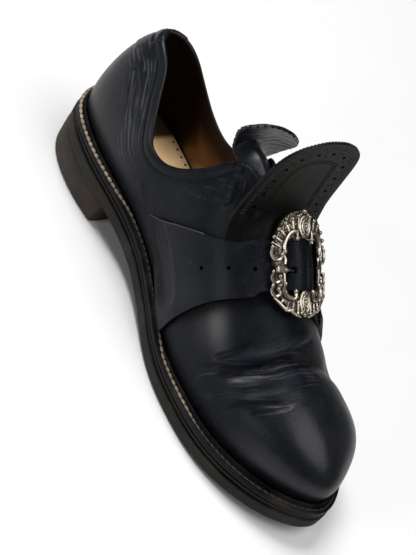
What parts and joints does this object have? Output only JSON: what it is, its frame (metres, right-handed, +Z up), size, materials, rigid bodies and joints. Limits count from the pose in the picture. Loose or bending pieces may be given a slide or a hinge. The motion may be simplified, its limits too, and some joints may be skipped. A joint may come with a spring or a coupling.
{
  "type": "slip-on dress shoe",
  "caption": "Low leather slip-on dress shoe for the left foot, with a strap, a buckle and a standing punched flap over the instep, on a stitched rubber sole with a low heel.",
  "frame": {"origin": "middle of the shoe's footprint, on the floor", "axes": "+Z up from the floor, -Y towards the toe, -X towards the foot's inner side"},
  "size_m": [0.1056, 0.304, 0.1612],
  "materials": {
    "outsole_rubber": "worn brown-black rubber, matt",
    "heel_rubber": "worn brown-black rubber, matt",
    "midsole_rubber": "black, dull",
    "welt_leather": "black edge-dressed leather with pale thread",
    "insole_leather": "natural tan, smooth",
    "upper_leather": "black-blue polished calf with creases",
    "tongue_leather": "black-blue, soft and wrinkled",
    "flap_leather": "black with a grey sheen, punched",
    "strap_leather": "black-blue polished calf",
    "buckle_silver": "antiqued silver plate",
    "prong_silver": "silver plate",
    "tab_leather": "black-blue polished calf"
  },
  "bodies": {
    "root": {"outsole": "outsole_rubber", "heel": "heel_rubber", "midsole": "midsole_rubber", "welt": "welt_leather", "insole": "insole_leather", "upper": "upper_leather", "tongue": "tongue_leather", "flap": "flap_leather", "strap": "strap_leather", "buckle_frame": "buckle_silver", "buckle_prong": "prong_silver", "buckle_tab": "tab_leather"}
  },
  "joints": []
}
